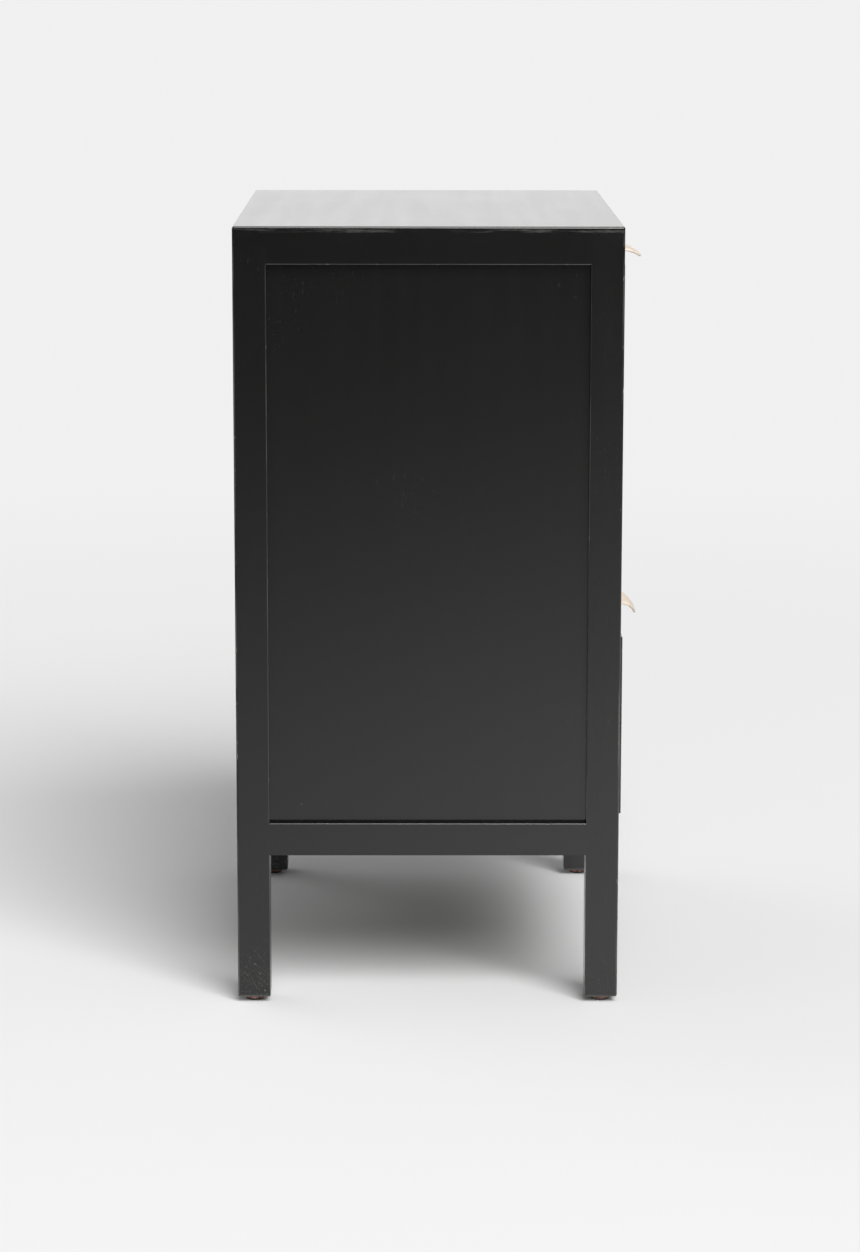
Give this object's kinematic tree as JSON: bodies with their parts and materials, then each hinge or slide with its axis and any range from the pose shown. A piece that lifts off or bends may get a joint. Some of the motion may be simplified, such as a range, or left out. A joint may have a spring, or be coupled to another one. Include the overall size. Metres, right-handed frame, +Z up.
{
  "type": "small cabinet with drawers",
  "caption": "Small black lacquered cabinet on square legs, with a shallow top drawer, a cupboard behind hinged doors, a deeper bottom drawer and leather tab pulls.",
  "frame": {"origin": "on the floor, under the middle of the overall box, the pulls included", "axes": "+Z up, -Y towards the user in front of the cabinet, +X along its width; pieces named left lie at -X, on the user's left"},
  "size_m": [0.5, 0.3804, 0.715],
  "materials": {
    "black_lacquer": "satin black lacquer",
    "cabinet_wood": "plain planed softwood",
    "drawer_wood": "pale planed wood",
    "tan_leather": "natural undyed leather",
    "brass": "aged satin",
    "steel": "plain bright steel",
    "brown_glide": "dark brown"
  },
  "bodies": {
    "cabinet": {"back_bottom_rail": "black_lacquer", "back_panel": "black_lacquer", "back_top_rail": "black_lacquer", "bottom_board": "cabinet_wood", "door_magnets": "steel", "drawer_guide_bottom_left": "cabinet_wood", "drawer_guide_bottom_right": "cabinet_wood", "drawer_guide_top_left": "cabinet_wood", "drawer_guide_top_right": "cabinet_wood", "drawer_kicker_left": "cabinet_wood", "drawer_kicker_right": "cabinet_wood", "drawer_stops": "cabinet_wood", "front_bottom_rail": "black_lacquer", "front_top_rail": "black_lacquer", "leg_back_left": "black_lacquer", "leg_back_right": "black_lacquer", "leg_front_left": "black_lacquer", "leg_front_right": "black_lacquer", "leg_glides": "brown_glide", "lower_shelf": "cabinet_wood", "pivot_plates": "steel", "pivot_screws": "steel", "shelf_batten_lower_left": "cabinet_wood", "shelf_batten_lower_right": "cabinet_wood", "shelf_batten_upper_left": "cabinet_wood", "shelf_batten_upper_right": "cabinet_wood", "side_bottom_rail_left": "black_lacquer", "side_bottom_rail_right": "black_lacquer", "side_panel_left": "black_lacquer", "side_panel_right": "black_lacquer", "side_top_rail_left": "black_lacquer", "side_top_rail_right": "black_lacquer", "top_board": "black_lacquer", "top_screws": "steel", "upper_shelf": "cabinet_wood"},
    "bottom_drawer": {"bottom_drawer_back": "drawer_wood", "bottom_drawer_bottom": "drawer_wood", "bottom_drawer_front": "black_lacquer", "bottom_drawer_pegs": "drawer_wood", "bottom_drawer_pull": "tan_leather", "bottom_drawer_pull_screws": "brass", "bottom_drawer_side_left": "drawer_wood", "bottom_drawer_side_right": "drawer_wood"},
    "left_door": {"left_door_board": "black_lacquer", "left_door_bushes": "brass", "left_door_knob": "brass", "left_door_strike": "steel"},
    "right_door": {"right_door_board": "black_lacquer", "right_door_bushes": "brass", "right_door_knob": "brass", "right_door_strike": "steel"},
    "top_drawer": {"top_drawer_back": "drawer_wood", "top_drawer_bottom": "drawer_wood", "top_drawer_front": "black_lacquer", "top_drawer_pegs": "drawer_wood", "top_drawer_pull": "tan_leather", "top_drawer_pull_screws": "brass", "top_drawer_side_left": "drawer_wood", "top_drawer_side_right": "drawer_wood"}
  },
  "joints": [
    {"name": "top_drawer_slide", "type": "slide", "parent": "cabinet", "child": "top_drawer", "axis": [0, -1, 0], "range_m": [0, 0.22]},
    {"name": "bottom_drawer_slide", "type": "slide", "parent": "cabinet", "child": "bottom_drawer", "axis": [0, -1, 0], "range_m": [0, 0.22]},
    {"name": "left_door_hinge", "type": "hinge", "parent": "cabinet", "child": "left_door", "pos_m": [-0.2095, -0.15315, 0.452], "axis": [0, 0, -1], "range_deg": [0, 95]},
    {"name": "right_door_hinge", "type": "hinge", "parent": "cabinet", "child": "right_door", "pos_m": [0.2095, -0.15315, 0.452], "axis": [0, 0, 1], "range_deg": [0, 95]}
  ]
}
